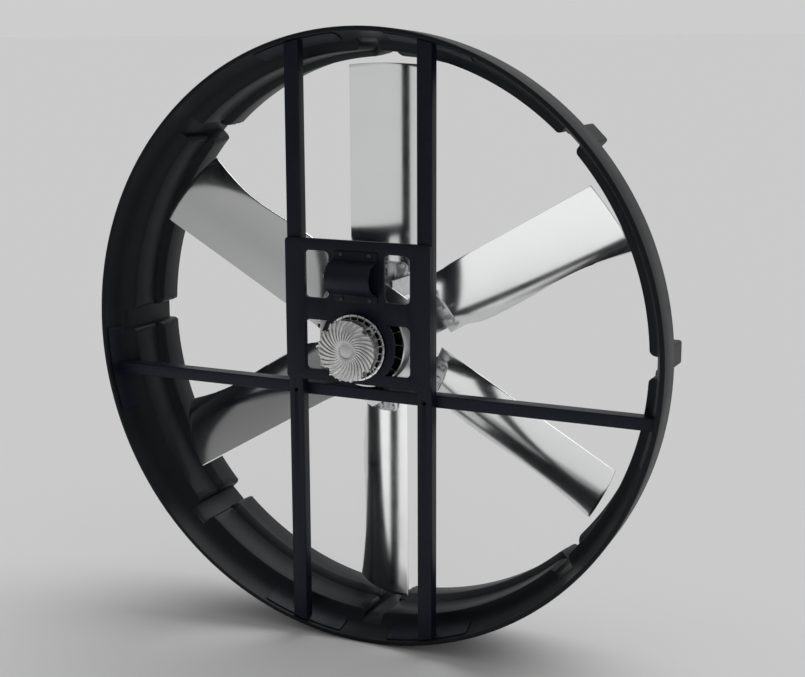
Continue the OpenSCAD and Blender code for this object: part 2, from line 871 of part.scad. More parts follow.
module rotor_drum() {
    color("#8d9296") from_rim() difference() {
        union() {
            pipe(drum_r, drum_in_r, drum_front, drum_back);
            rod(drum_r - drum_t / 2, drum_floor, drum_back);
            rod(drum_boss_r, drum_back - drum_t, shaft_back);
        }
        rod(shaft_r, drum_front, shaft_back + over);
        hub_screw_spots() rod(hub_screw_r, drum_floor - over, drum_back + over, small_n);
    }
}

module rotor_magnets() {
    end = stator_at + stator_len;
    color("#4b4f55") from_rim() difference() {
        pipe(drum_in_r, magnet_in_r, stator_at, end);
        around(2 * tooth_n) block([magnet_in_r - over, drum_r + over], [stator_at - over, end + over],
            [-coil_gap, coil_gap]);
    }
}

// Depth of the blade's front surface at the root, for a place s across it
function root_share(s) = (lead_s - s) / (lead_s + trail_s * trail_shares[0]);
function tail_at(u, share) = tail_drop * share * pow(u, tail_power);
function root_depth(s) = lead_depth + blade_slope * (lead_s - s)
    + tail_at(root_share(s), tail_shares[0]);
function chord_s(j, trail) = lead_s - (lead_s + trail) * j / chord_n;

// Band that follows the root section, from s0 to s1, moved back by the offsets d0 and d1
module root_band(s0, s1, d0, d1, r0, r1) {
    marks = [for (j = [0 : chord_n]) let (s = chord_s(j, trail_s * trail_shares[0]))
        if (s < s1 && s > s0) s];
    line = concat([s1], marks, [s0]);
    front = [for (s = line) [band_depth_at(s) + d0, s]];
    back = [for (i = [len(line) - 1 : -1 : 0]) [band_depth_at(line[i]) + d1, line[i]]];
    translate([r0, 0, 0]) rotate([90, 0, 90]) linear_extrude(height = r1 - r0)
        polygon(concat(front, back));
}

// The sheet is made of flats between the chord marks, so a place between two marks
// lies on the straight line that joins them
function band_depth_at(s) = let (
    step = (lead_s + trail_s * trail_shares[0]) / chord_n,
    j = min(chord_n - 1, max(0, floor((lead_s - s) / step))),
    s_a = lead_s - j * step, s_b = s_a - step, w = (s_a - s) / step)
    root_depth(s_a) * (1 - w) + root_depth(s_b) * w;
function band_tilt_at(s) = let (
    step = (lead_s + trail_s * trail_shares[0]) / chord_n,
    j = min(chord_n - 1, max(0, floor((lead_s - s) / step))), s_a = lead_s - j * step)
    atan((root_depth(s_a - step) - root_depth(s_a)) / step);

// Places of the clamp bolts, with y pointing into the blade from the seat
module clamp_spots_at(spots) {
    for (p = spots) translate([p[0], band_depth_at(p[1]) - clamp_t + clamp_sink, p[1]])
        rotate([band_tilt_at(p[1]), 0, 0]) children();
}

module hub() {
    floor_at = drum_back;
    pocket_in = drum_r + hub_inner_w;
    pocket_out = hub_r - hub_rim_w;
    color("#b4b7b9") from_rim() difference() {
        union() {
            pipe(hub_r, pocket_out, hub_front, hub_back);
            pipe(pocket_in, drum_r, hub_front, floor_at + hub_floor_t);
            rod(pocket_out + hub_rim_w / 2, floor_at, floor_at + hub_floor_t);
            around(rib_n, 2) block([pocket_in - rib_t, pocket_out + hub_rim_w / 2],
                [hub_front + web_step, floor_at + hub_floor_t / 2], [-rib_t / 2, rib_t / 2]);
            difference() {
                rotate([0, 30, 0]) rod(hex_half / cos(30), hex_front, hex_front + hex_t, 6);
                rod(pocket_out + hub_rim_w / 2, hex_front - over, hex_front + hex_t + over);
            }
            around(blade_n, 30) {
                block([drum_boss_r + over, pocket_out + hub_rim_w / 2],
                    [floor_at + hub_floor_t / 2, hub_back - over], [-hub_web_t / 2, hub_web_t / 2]);
                root_band(arm_trail, arm_lead, 0, arm_t + blade_t, cheek_in, arm_front_r);
                root_band(arm_trail, arm_lead, blade_t, arm_t + blade_t, arm_front_r - over, hold_r);
                for (s = [[arm_trail, arm_trail + cheek_t], [arm_lead - cheek_t, arm_lead]])
                    block([cheek_in, arm_front_r], [hex_front + hex_t / 2,
                        band_depth_at(s[1]) + arm_t / 2], s);
            }
        }
        rod(drum_boss_r, floor_at - over, hub_back + over);
        hub_screw_spots() rod(hub_screw_r, floor_at - over, floor_at + hub_floor_t + over, small_n);
        around(blade_n, 30) clamp_spots_at(clamp_spots)
            rod(clamp_bolt_r, -over, clamp_bite + over, small_n);
    }
}

module hub_screws() {
    seat = drum_back + hub_floor_t;
    color("#55595c") from_rim() hub_screw_spots() {
        rod(hub_screw_head_r, seat, seat + hub_screw_head_h, 6);
        rod(hub_screw_r, drum_floor, seat + hub_screw_head_h / 2, small_n);
    }
}

// Points of one blade section: leading edge to trailing edge
function blade_row(i, back) = [for (j = [0 : chord_n]) let (
    u = j / chord_n,
    s = chord_s(j, trail_s * trail_shares[i]),
    start = root_r + seat_gap,
    r = start + station_shares[i] * (sqrt(pow(tip_r, 2) - pow(s, 2)) - start),
    d = lead_depth + blade_slope * (lead_s - s) + tail_at(u, tail_shares[i]) + back)
    [i < 2 ? start + station_shares[i] * (tip_r - start) : r, d, s]];

module blade() {
    rows = len(station_shares);
    n = chord_n + 1;
    pts = concat([for (i = [0 : rows - 1]) each blade_row(i, 0)],
        [for (i = [0 : rows - 1]) each blade_row(i, blade_t)]);
    under = rows * n;
    faces = concat(
        [for (i = [0 : rows - 2], j = [0 : n - 2]) each [
            [i * n + j, (i + 1) * n + j, i * n + j + 1],
            [i * n + j + 1, (i + 1) * n + j, (i + 1) * n + j + 1]]],
        [for (i = [0 : rows - 2], j = [0 : n - 2]) each [
            [under + i * n + j, under + i * n + j + 1, under + (i + 1) * n + j],
            [under + i * n + j + 1, under + (i + 1) * n + j + 1, under + (i + 1) * n + j]]],
        [for (j = [0 : n - 2]) each [
            [j, j + 1, under + j], [j + 1, under + j + 1, under + j]]],
        [for (j = [0 : n - 2]) let (a = (rows - 1) * n + j) each [
            [a, under + a, a + 1], [a + 1, under + a, under + a + 1]]],
        [for (i = [0 : rows - 2]) let (a = i * n) each [
            [a, under + a, a + n], [a + n, under + a, under + a + n]]],
        [for (i = [0 : rows - 2]) let (a = i * n + n - 1) each [
            [a, a + n, under + a], [a + n, under + a + n, under + a]]]);
    difference() {
        polyhedron(points = pts, faces = faces);
        clamp_spots_at([for (p = clamp_spots) if (p[0] > root_r) p])
            rod(clamp_bolt_r + seat_gap, -over, clamp_bite + over, small_n);
    }
}

module placed_blade(i) {
    color("#c9cccf") from_rim() turn(90 - (i - 1) * 360 / blade_n) blade();
}

module blade_1() { placed_blade(1); }
module blade_2() { placed_blade(2); }
module blade_3() { placed_blade(3); }
module blade_4() { placed_blade(4); }
module blade_5() { placed_blade(5); }
module blade_6() { placed_blade(6); }

// Planform of a clamp: wide and slightly bowed outside, narrower at the hub
module clamp_outline() {
    in_lead = clamp_lead * clamp_in_share;
    in_trail = clamp_trail * clamp_in_share;
    polygon([[clamp_in_r, in_trail + clamp_corner], [clamp_in_r + clamp_corner, in_trail],
        [clamp_shoulder, clamp_trail], [clamp_out_r - clamp_bow - clamp_corner, clamp_trail],
        [clamp_out_r - clamp_bow, clamp_trail + clamp_corner],
        [clamp_out_r, (clamp_lead + clamp_trail) / 2],
        [clamp_out_r - clamp_bow, clamp_lead - clamp_corner],
        [clamp_out_r - clamp_bow - clamp_corner, clamp_lead], [clamp_shoulder, clamp_lead],
        [clamp_in_r + clamp_corner, in_lead], [clamp_in_r, in_lead - clamp_corner]]);
}

module blade_clamps() {
    color("#bfc2c4") from_rim() around(blade_n, 30) difference() {
        intersection() {
            root_band(clamp_trail, clamp_lead, -clamp_t, 0, clamp_in_r, clamp_out_r);
            slab(0, ring_depth) clamp_outline();
        }
        clamp_spots_at(clamp_spots) {
            rod(clamp_bolt_r, -over, clamp_bite, small_n);
            rod(clamp_head_r + seat_gap, -clamp_head_h - over, 0, small_n);
        }
    }
}

module clamp_bolts() {
    color("#a9adb0") from_rim() around(blade_n, 30) clamp_spots_at(clamp_spots) {
        rod(clamp_head_r, -clamp_head_h, 0, small_n);
        rod(clamp_bolt_r, -clamp_head_h / 2, clamp_bite, small_n);
    }
}

ring_shroud();
wall_inserts();
end_plates();
end_plate_nuts();
left_upright();
right_upright();
crossbar();
crossing_bolts();
crossing_nuts();
motor_plate();
plate_bolts();
saddle_bracket();
saddle_screws();
motor_flange();
motor_mount_bolts();
motor_housing();
finned_cap();
cap_screws();
cable_gland();
drive_board();
stator_core();
stator_windings();
bearing_front();
bearing_rear();
retaining_ring();
shaft();
rotor_drum();
rotor_magnets();
hub();
hub_screws();
blade_1();
blade_2();
blade_3();
blade_4();
blade_5();
blade_6();
blade_clamps();
clamp_bolts();
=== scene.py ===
import math
import bpy
from mathutils import Matrix, Vector


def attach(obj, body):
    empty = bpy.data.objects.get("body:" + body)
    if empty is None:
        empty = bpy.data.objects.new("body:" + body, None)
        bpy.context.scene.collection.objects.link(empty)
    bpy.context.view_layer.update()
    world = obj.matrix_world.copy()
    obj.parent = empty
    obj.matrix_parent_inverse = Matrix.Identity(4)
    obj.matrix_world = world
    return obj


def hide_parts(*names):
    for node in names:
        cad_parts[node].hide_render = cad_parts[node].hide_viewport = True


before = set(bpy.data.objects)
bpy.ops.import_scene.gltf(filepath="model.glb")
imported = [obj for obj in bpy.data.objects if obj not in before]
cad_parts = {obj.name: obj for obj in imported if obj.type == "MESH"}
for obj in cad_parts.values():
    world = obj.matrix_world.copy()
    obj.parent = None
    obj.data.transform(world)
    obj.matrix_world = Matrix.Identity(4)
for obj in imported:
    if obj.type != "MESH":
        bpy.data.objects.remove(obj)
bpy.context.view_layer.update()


# --- Studio ---------------------------------------------------------------------------
# The ring's lowest point rests on a wide pale floor. Very soft light falls from above and
# a little from the right and behind, so the fan's front stays dark and its right sides light.

# The camera stands and looks as the photo's did, and the floor is half a millimetre below
camera_place = (2.1659, -4.3048, 0.9784)
camera_pan, camera_tilt, camera_roll = 25.6788, 78.5422, -0.2204
floor_size, floor_level, floor_grey = 3000, -1.0005, 0.69
sun_heading = (-0.20, -0.50, -1)
room_near_left = (-0.80, -0.58, 0.14)

bpy.ops.object.select_all(action="DESELECT")
bpy.ops.object.camera_add()
camera = bpy.context.object
camera.name = "camera"
camera.data.sensor_width = 36
camera.data.lens = 67.52
camera.matrix_world = (
    Matrix.Translation(camera_place)
    @ Matrix.Rotation(math.radians(camera_pan), 4, "Z")
    @ Matrix.Rotation(math.radians(camera_tilt), 4, "X")
    @ Matrix.Rotation(math.radians(camera_roll), 4, "Z")
)
bpy.context.scene.camera = camera

bpy.ops.mesh.primitive_plane_add(size=floor_size, location=(0, 0, floor_level))
floor = bpy.context.object
floor.name = "floor"
floor_paint = bpy.data.materials.new("floor_paint")
floor_paint.use_nodes = True
floor_shader = floor_paint.node_tree.nodes["Principled BSDF"]
floor_shader.inputs["Base Color"].default_value = (floor_grey, floor_grey, floor_grey, 1)
floor_shader.inputs["Roughness"].default_value = 0.95
floor_shader.inputs["Specular IOR Level"].default_value = 0.0
floor.data.materials.append(floor_paint)

# The room is as light as the floor's edge low down, dimmer overhead and on the near left
room = bpy.data.worlds.new("room")
room.use_nodes = True
room_tree = room.node_tree
room_light = room_tree.nodes["Background"].inputs
room_place = room_tree.nodes.new("ShaderNodeTexCoord").outputs["Generated"]


def room_shade(value, marks, blue, lit):
    """Sets one side of the room's light by value, from marks of (place, level)."""
    ramp = room_tree.nodes.new("ShaderNodeValToRGB")
    for place, level in marks:
        mark = ramp.color_ramp.elements.new(place)
        mark.color = (level, level, level * blue, 1)
    for spare in (0, -1):
        ramp.color_ramp.elements.remove(ramp.color_ramp.elements[spare])
    room_tree.links.new(value, ramp.inputs["Fac"])
    room_tree.links.new(ramp.outputs["Color"], lit)


room_height = room_tree.nodes.new("ShaderNodeSeparateXYZ")
room_tree.links.new(room_place, room_height.inputs[0])
room_shade(room_height.outputs["Z"], ((0.0, 0.61), (0.12, 0.60), (0.45, 0.42), (0.999, 0.38)),
           1.005, room_light["Color"])
room_facing = room_tree.nodes.new("ShaderNodeVectorMath")
room_facing.operation = "DOT_PRODUCT"
room_facing.inputs[1].default_value = room_near_left
room_tree.links.new(room_place, room_facing.inputs[0])
room_shade(room_facing.outputs["Value"],
           ((0.35, 1.0), (0.52, 0.88), (0.79, 0.72), (0.92, 0.45), (0.99, 0.30)),
           1, room_light["Strength"])
bpy.context.scene.world = room
bpy.context.scene.view_settings.view_transform = "Standard"

bpy.ops.object.light_add(type="SUN", location=(0.6, 0.6, 4))
overhead = bpy.context.object
overhead.name = "overhead"
overhead.data.angle = math.radians(58)
overhead.data.energy = 1.7
overhead.rotation_euler = Vector(sun_heading).to_track_quat("-Z", "Y").to_euler()

# A white board on the floor in front throws light up into the blades
bpy.ops.object.light_add(type="AREA", location=(-0.3, -2.08, -0.98))
board = bpy.context.object
board.name = "board"
board.data.shape = "RECTANGLE"
board.data.size = 6.0
board.data.size_y = 3.66
board.data.energy = 25.5
board.rotation_euler = (math.pi, 0, 0)
board.visible_camera = False


# --- Ring -----------------------------------------------------------------------------
# One moulding of black glass-filled plastic: rim, outer band, bell, bore, groove and
# rear ridge, crossed by eight channels. The channels' outsides stand out behind the
# band as lugs. The skin has the fine grain of its mould.

# Millimetres: radii from the fan's axis, and depths behind the front rim
wall_depth, ring_rear = 128, 344
rim_r, rim_round = 1000, 6
bell_r, bell_out, bell_deep, bell_end = 920, 65, 100, 84.7
channel_half, lug_half = 34, 38
lug_r, lug_foot_r, lug_front, lug_rear, lug_round = 956, 880, 92, 343.6, 9
insert_r, insert_bore_r = 974, 8
end_round, end_start = 20, 33.4
eighths = range(0, 360, 45)


def clear_selection():
    bpy.ops.object.select_all(action="DESELECT")


def behind_rim(d):
    """A depth behind the front rim, in millimetres, as a place along the fan's axis."""
    return (d - wall_depth) / 1000


def new_piece(name, points, edges, faces):
    clear_selection()
    mesh = bpy.data.meshes.new(name)
    mesh.from_pydata(points, edges, faces)
    piece = bpy.data.objects.new(name, mesh)
    bpy.context.collection.objects.link(piece)
    bpy.context.view_layer.objects.active = piece
    piece.select_set(True)
    return piece


def pick(piece):
    clear_selection()
    bpy.context.view_layer.objects.active = piece
    piece.select_set(True)


def lathe(name, outline, steps=256, turn=360.0, start=0.0):
    """A closed outline of (radius, depth) in millimetres, turned round the fan's axis."""
    a = math.radians(start)
    points = [(r / 1000 * math.cos(a), behind_rim(d), r / 1000 * math.sin(a))
              for r, d in outline]
    n = len(points)
    piece = new_piece(name, points, [(i, (i + 1) % n) for i in range(n)], [])
    bpy.ops.object.mode_set(mode="EDIT")
    bpy.ops.mesh.select_all(action="SELECT")
    bpy.ops.mesh.spin(steps=steps, angle=math.radians(turn), center=(0, 0, 0), axis=(0, 1, 0))
    bpy.ops.mesh.select_all(action="SELECT")
    bpy.ops.mesh.remove_doubles(threshold=0.00001)
    if turn < 360:
        bpy.ops.mesh.select_all(action="DESELECT")
        bpy.ops.mesh.select_non_manifold()
        bpy.ops.mesh.fill_holes(sides=0)
        bpy.ops.mesh.select_all(action="SELECT")
    bpy.ops.mesh.normals_make_consistent(inside=False)
    bpy.ops.object.mode_set(mode="OBJECT")
    return piece


def pulled_out(piece, shift):
    """Makes a body of a sheet of faces by pulling it out by shift."""
    bpy.ops.object.mode_set(mode="EDIT")
    bpy.ops.mesh.select_all(action="SELECT")
    bpy.ops.mesh.extrude_region_move(TRANSFORM_OT_translate={"value": shift})
    bpy.ops.mesh.select_all(action="SELECT")
    bpy.ops.mesh.normals_make_consistent(inside=False)
    bpy.ops.object.mode_set(mode="OBJECT")
    return piece


def prism(name, outline, shift):
    """A flat outline of points in metres, pulled out by shift."""
    return pulled_out(new_piece(name, outline, [], [list(range(len(outline)))]), shift)


def slab(name, x, d, z):
    """A block with its sides given in millimetres."""
    y0, y1 = behind_rim(d[0]), behind_rim(d[1])
    corners = [(x[0] / 1000, y0, z[0] / 1000), (x[1] / 1000, y0, z[0] / 1000),
               (x[1] / 1000, y0, z[1] / 1000), (x[0] / 1000, y0, z[1] / 1000)]
    return prism(name, corners, (0, y1 - y0, 0))


def round_bar(name, x, z, r, d, sides=48):
    clear_selection()
    bpy.ops.mesh.primitive_cylinder_add(
        vertices=sides, radius=r / 1000, depth=(d[1] - d[0]) / 1000,
        location=(x / 1000, behind_rim((d[0] + d[1]) / 2), z / 1000),
        rotation=(math.pi / 2, 0, 0))
    piece = bpy.context.object
    piece.name = name
    bpy.ops.object.transform_apply(location=True, rotation=True, scale=True)
    return piece


def joined(name, pieces):
    clear_selection()
    for p in pieces:
        p.select_set(True)
    bpy.context.view_layer.objects.active = pieces[0]
    if len(pieces) > 1:
        bpy.ops.object.join()
    pieces[0].name = name
    return pieces[0]


def turned(angle):
    return Matrix.Rotation(-math.radians(angle), 4, "Y")


def copied_to(piece, places):
    """Copies of a piece at each place, given as matrices, joined in one mesh."""
    copies = []
    for place in places:
        twin = piece.copy()
        twin.data = piece.data.copy()
        twin.data.transform(place)
        bpy.context.collection.objects.link(twin)
        copies.append(twin)
    name = piece.name
    bpy.data.objects.remove(piece)
    return joined(name, copies)


def copied_round(piece, angles):
    """Copies of a piece turned about the fan's axis, joined in one mesh."""
    return copied_to(piece, [turned(a) for a in angles])


def shaped(piece, tool, operation="DIFFERENCE"):
    """Cuts, adds or keeps with another piece, which is used up."""
    change = piece.modifiers.new("change", "BOOLEAN")
    change.object = tool
    change.operation = operation
    change.solver = "EXACT"
    pick(piece)
    bpy.ops.object.modifier_apply(modifier=change.name)
    bpy.data.objects.remove(tool)


def eased(piece, width, angle=35, segments=2):
    """Rounds the sharp edges by a width in millimetres and shades the rest smooth."""
    pick(piece)
    ease = piece.modifiers.new("ease", "BEVEL")
    ease.width = width / 1000
    ease.segments = segments
    ease.limit_method = "ANGLE"
    ease.angle_limit = math.radians(angle)
    ease.use_clamp_overlap = True
    bpy.ops.object.modifier_apply(modifier=ease.name)
    bpy.ops.object.shade_smooth_by_angle(angle=math.radians(angle))


def bell(off, t0, t1, n):
    """Part of the bell's quarter ellipse from angle t0 to t1, off behind its face."""
    return [(bell_r + (bell_out - off) * math.cos(math.radians(t0 + (t1 - t0) * i / n)),
             (bell_deep - off) * math.sin(math.radians(t0 + (t1 - t0) * i / n)))
            for i in range(n + 1)]


def fitted(piece, body, finish, node):
    """Dresses a finished piece, puts it on its body and lets it stand for its CAD node."""
    piece.data.materials.clear()
    piece.data.materials.append(finish)
    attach(piece, body)
    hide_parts(node)


def group_of(name, inputs, outputs):
    group = bpy.data.node_groups.new(name, "ShaderNodeTree")
    for title, value in inputs:
        group.interface.new_socket(name=title, in_out="INPUT",
                                   socket_type="NodeSocketFloat").default_value = value
    for title in outputs:
        group.interface.new_socket(name=title, in_out="OUTPUT", socket_type="NodeSocketFloat")
    return group, group.nodes.new("NodeGroupInput"), group.nodes.new("NodeGroupOutput")


def noise_in(tree, coordinates, scale, detail):
    noise = tree.nodes.new("ShaderNodeTexNoise")
    noise.inputs["Detail"].default_value = detail
    tree.links.new(coordinates, noise.inputs["Vector"])
    if isinstance(scale, (int, float)):
        noise.inputs["Scale"].default_value = scale
    else:
        tree.links.new(scale, noise.inputs["Scale"])
    return noise.outputs["Fac"]


def computed(tree, kind, *values):
    """The output of a Math node of that kind, fed with sockets or plain numbers."""
    node = tree.nodes.new("ShaderNodeMath")
    node.operation = kind
    for value, socket in zip(values, node.inputs):
        if isinstance(value, (int, float)):
            socket.default_value = value
        else:
            tree.links.new(value, socket)
    return node.outputs[0]


def product(tree, first, *others):
    for other in others:
        first = computed(tree, "MULTIPLY", first, other)
    return first


def spread(tree, value, span, onto=(0, 1)):
    """Stretches value from one span of numbers onto another and stops at its ends."""
    node = tree.nodes.new("ShaderNodeMapRange")
    for title, mark in zip(("From Min", "From Max", "To Min", "To Max"), (*span, *onto)):
        node.inputs[title].default_value = mark
    tree.links.new(value, node.inputs["Value"])
    return node.outputs["Result"]


def own_place(tree):
    return tree.nodes.new("ShaderNodeTexCoord").outputs["Object"]


# Fine grain with a slower mottle, as on moulded plastic, powder coat and castings
grain, grain_in, grain_out = group_of(
    "surface_grain", [("Grain Scale", 900.0), ("Mottle Scale", 9.0)], ["Height", "Mottle"])
grain_place = own_place(grain)
grain.links.new(noise_in(grain, grain_place, grain_in.outputs["Grain Scale"], 3),
                grain_out.inputs["Height"])
grain_mottle = noise_in(grain, grain_place, grain_in.outputs["Mottle Scale"], 5)
grain.links.new(spread(grain, grain_mottle, (0.32, 0.68)), grain_out.inputs["Mottle"])

# Thin dust that settles where a surface faces up
dust, dust_in, dust_out = group_of("settled_dust", [("Amount", 0.2)], ["Mask"])
dust_colour = (0.32, 0.31, 0.29)
dust_up = dust.nodes.new("ShaderNodeSeparateXYZ")
dust.links.new(dust.nodes.new("ShaderNodeNewGeometry").outputs["Normal"], dust_up.inputs[0])
dust_lie = spread(dust, dust_up.outputs["Z"], (0.25, 1.0))
dust_patch = spread(dust, noise_in(dust, own_place(dust), 26, 6), (0.3, 0.7), (0.35, 1))
dust.links.new(product(dust, dust_lie, dust_patch, dust_in.outputs["Amount"]),
               dust_out.inputs["Mask"])

# Edges rubbed brighter by handling
rubbed, rubbed_in, rubbed_out = group_of("rubbed_edges", [("Amount", 0.5)], ["Mask"])
rubbed_edge = spread(
    rubbed, rubbed.nodes.new("ShaderNodeNewGeometry").outputs["Pointiness"], (0.515, 0.6))
rubbed_patch = spread(
    rubbed, noise_in(rubbed, own_place(rubbed), 60, 4), (0.35, 0.65), (0.2, 1))
rubbed.links.new(product(rubbed, rubbed_edge, rubbed_patch, rubbed_in.outputs["Amount"]),
                 rubbed_out.inputs["Mask"])


def tint(tree, mask, under, over):
    """Lays one colour over another where the mask is high; each is a socket or a tuple."""
    node = tree.nodes.new("ShaderNodeMix")
    node.data_type = "RGBA"
    tree.links.new(mask, node.inputs[0])
    for value, socket in ((under, node.inputs[6]), (over, node.inputs[7])):
        if isinstance(value, tuple):
            socket.default_value = (*value, 1)
        else:
            tree.links.new(value, socket)
    return node.outputs[2]


def placed_group(tree, group, **values):
    node = tree.nodes.new("ShaderNodeGroup")
    node.node_tree = group
    for title, value in values.items():
        node.inputs[title.replace("_", " ")].default_value = value
    return node


def coated(name, dark, light, rough, grain_scale, grain_depth, dust_amount, edge_amount,
           coat=0.0, specular=0.5):
    """Black plastic or powder coat: mottled colour, fine grain, dust and rubbed edges."""
    finish = bpy.data.materials.new(name)
    finish.use_nodes = True
    tree = finish.node_tree
    shader = tree.nodes["Principled BSDF"]
    skin = placed_group(tree, grain, Grain_Scale=grain_scale, Mottle_Scale=7.0)
    edge = placed_group(tree, rubbed, Amount=edge_amount)
    dust_and_shade = placed_group(tree, dust, Amount=dust_amount)
    colour = tint(tree, skin.outputs["Mottle"], dark, light)
    colour = tint(tree, edge.outputs["Mask"], colour, tuple(min(1, 3 * c + 0.05) for c in light))
    colour = tint(tree, dust_and_shade.outputs["Mask"], colour, dust_colour)
    tree.links.new(colour, shader.inputs["Base Color"])
    tree.links.new(spread(tree, skin.outputs["Mottle"], (0, 1), rough),
                   shader.inputs["Roughness"])
    bump = tree.nodes.new("ShaderNodeBump")
    bump.inputs["Strength"].default_value = 0.35
    bump.inputs["Distance"].default_value = grain_depth
    tree.links.new(skin.outputs["Height"], bump.inputs["Height"])
    tree.links.new(bump.outputs["Normal"], shader.inputs["Normal"])
    shader.inputs["Coat Weight"].default_value = coat
    shader.inputs["Specular IOR Level"].default_value = specular
    return finish


ring_plastic = coated("ring_plastic", (0.0042, 0.0056, 0.0072), (0.0058, 0.0074, 0.0092),
                      rough=(0.40, 0.47), grain_scale=1400, grain_depth=0.00006,
                      dust_amount=0.02, edge_amount=0.08, specular=0.13)

# The wall's section: in from the rim over the bell to the rear edge, and back outside
rim_line = [(rim_r - rim_round + rim_round * math.cos(math.radians(t)),
             rim_round - rim_round * math.sin(math.radians(t))) for t in range(0, 91, 15)]
bore_side = (rim_line + [(987, 0), (985.7, 0.35)] + bell(0, 1, bell_end, 40)
             + [(924.5, 103), (923.5, 215), (926.5, 219), (923, 223), (906, 242), (905, 247),
                (916, ring_rear)])
back_side = ([(924, ring_rear), (914, 247), (936, 225), (935, 214), (932, 112)]
             + bell(-8, 80, 13.4, 24) + [(985, wall_depth), (993, wall_depth)])
ring = lathe("ring", bore_side + back_side)

# A lug starts inside the wall, so what lies further in than the wall's middle is cut off it
mid_wall = ([(835, 60)] + bell(-4, 20, bell_end, 12)
            + [(928, 108), (929, 214), (931, 219), (929, 225), (910, 247), (920, 352), (835, 352)])
lug_edge = [(lug_r - lug_round + lug_round * math.cos(math.radians(t)),
             lug_half - lug_round + lug_round * math.sin(math.radians(t)))
            for t in range(0, 91, 18)]
lug_outline = (lug_edge + [(lug_foot_r, lug_half), (lug_foot_r, -lug_half)]
               + [(r, -s) for r, s in reversed(lug_edge)])
lug = prism("lug", [(r / 1000, behind_rim(lug_front), s / 1000) for r, s in lug_outline],
            (0, (lug_rear - lug_front) / 1000, 0))
shaped(lug, lathe("mid_wall", mid_wall, steps=192))
boss = slab("boss", (953, 989), (96, wall_depth - 0.4), (-22, 22))
shaped(ring, copied_round(joined("lugs", [lug]), eighths), "UNION")
shaped(ring, copied_round(joined("bosses", [boss]), eighths), "UNION")

channel_line = [(830, 76), (962, 76), (958, 84), (951, 97), (950, 352), (830, 352)]
channel = prism("channel", [(r / 1000, behind_rim(d), -channel_half / 1000)
                            for r, d in channel_line], (0, 0, 2 * channel_half / 1000))
insert_bore = round_bar("insert_bore", insert_r, 0, insert_bore_r, (106, wall_depth + 5))
shaped(ring, copied_round(joined("channels", [channel, insert_bore]), eighths))

# The toe's and the ridge's ends are rounded off towards each channel
for name, r0, d0, d1 in (("toe_ends", 923, 60, 224), ("ridge_ends", 904, 225, 290),
                         ("slope_ends", 907, 288, 330), ("rear_ends", 911, 326, 352)):
    arc = [(r0 + end_round - end_round * math.sin(math.radians(t)),
            end_start + end_round - end_round * math.cos(math.radians(t)))
           for t in range(0, 91, 15)]
    corner = ([(870, end_start), (r0 + end_round, end_start)] + arc
              + [(870, end_start + end_round)])
    ends = [prism("end", [(r / 1000, behind_rim(d0), side * s / 1000) for r, s in corner],
                  (0, (d1 - d0) / 1000, 0)) for side in (-1, 1)]
    shaped(ring, copied_round(joined(name, ends), eighths))
eased(ring, 1.4, 38)
fitted(ring, "frame", ring_plastic, "ring_shroud")


# --- Tube frame -------------------------------------------------------------------------
# Two upright tubes and a crossbar of box section, powder coated. Curved plates are welded
# over their ends and sit on the bell, held by studs and nuts. Holes in the uprights let a
# key reach the crossing bolts on the rear wall inside.

# The tubes, and then the curved sheets over their ends, in millimetres and degrees
upright_x, crossbar_z = 230.5, -165
tube_wide, tube_thin, tube_wall, tube_round = 50, 40, 3, 3.5
tube_front, crossbar_front, tube_reach = 4, 44, 990
key_hole_r = 7
sheet_gap, sheet_thick, sheet_turn, sheet_corner = 0.3, 4, 17, 14

tube_paint = coated("tube_paint", (0.0046, 0.0068, 0.0130), (0.0058, 0.0082, 0.0150),
                    rough=(0.36, 0.43), grain_scale=900, grain_depth=0.00005,
                    dust_amount=0.02, edge_amount=0.10, specular=0.13)

# The uprights end 20 degrees up the bell's ellipse, and the deeper crossbar 45 degrees
upright_angle = math.degrees(math.acos(
    upright_x / (bell_r + bell_out * math.cos(math.radians(20)))))
crossbar_angle = math.degrees(math.asin(
    crossbar_z / (bell_r + bell_out * math.cos(math.radians(45)))))
end_angles = [upright_angle, 180 - upright_angle, 180 + upright_angle, -upright_angle,
              crossbar_angle, 180 - crossbar_angle]


def rounded_edges(piece, wanted, radius, segments):
    """Rounds the edges that wanted accepts, given their two ends, by a radius in millimetres."""
    pick(piece)
    bpy.ops.object.mode_set(mode="EDIT")
    bpy.ops.mesh.select_mode(type="EDGE")
    bpy.ops.mesh.select_all(action="DESELECT")
    bpy.ops.object.mode_set(mode="OBJECT")
    ends = piece.data.vertices
    for edge in piece.data.edges:
        edge.select = wanted(*(ends[i].co for i in edge.vertices))
    bpy.ops.object.mode_set(mode="EDIT")
    bpy.ops.mesh.bevel(offset=radius / 1000, segments=segments, affect="EDGES")
    bpy.ops.object.mode_set(mode="OBJECT")


def end_corner(a, b):
    """True for a short edge through the sheet at a corner of the end plate."""
    aside = abs(math.degrees(math.atan2(a.z, a.x)))
    through = abs(a.z / a.x - b.z / b.x) < 0.0001
    return aside > sheet_turn / 2 - 0.1 and through and 0.0034 < (a - b).length < 0.0046


end_plates = lathe("end_plates", bell(sheet_gap, 8, 50, 24)
                   + bell(sheet_gap + sheet_thick, 50, 8, 24),
                   steps=14, turn=sheet_turn, start=-sheet_turn / 2)
rounded_edges(end_plates, end_corner, sheet_corner, 6)
end_plates = copied_round(end_plates, end_angles)
eased(end_plates, 0.8, 40)
fitted(end_plates, "frame", tube_paint, "end_plates")


def around(middle, width):
    return middle - width / 2, middle + width / 2


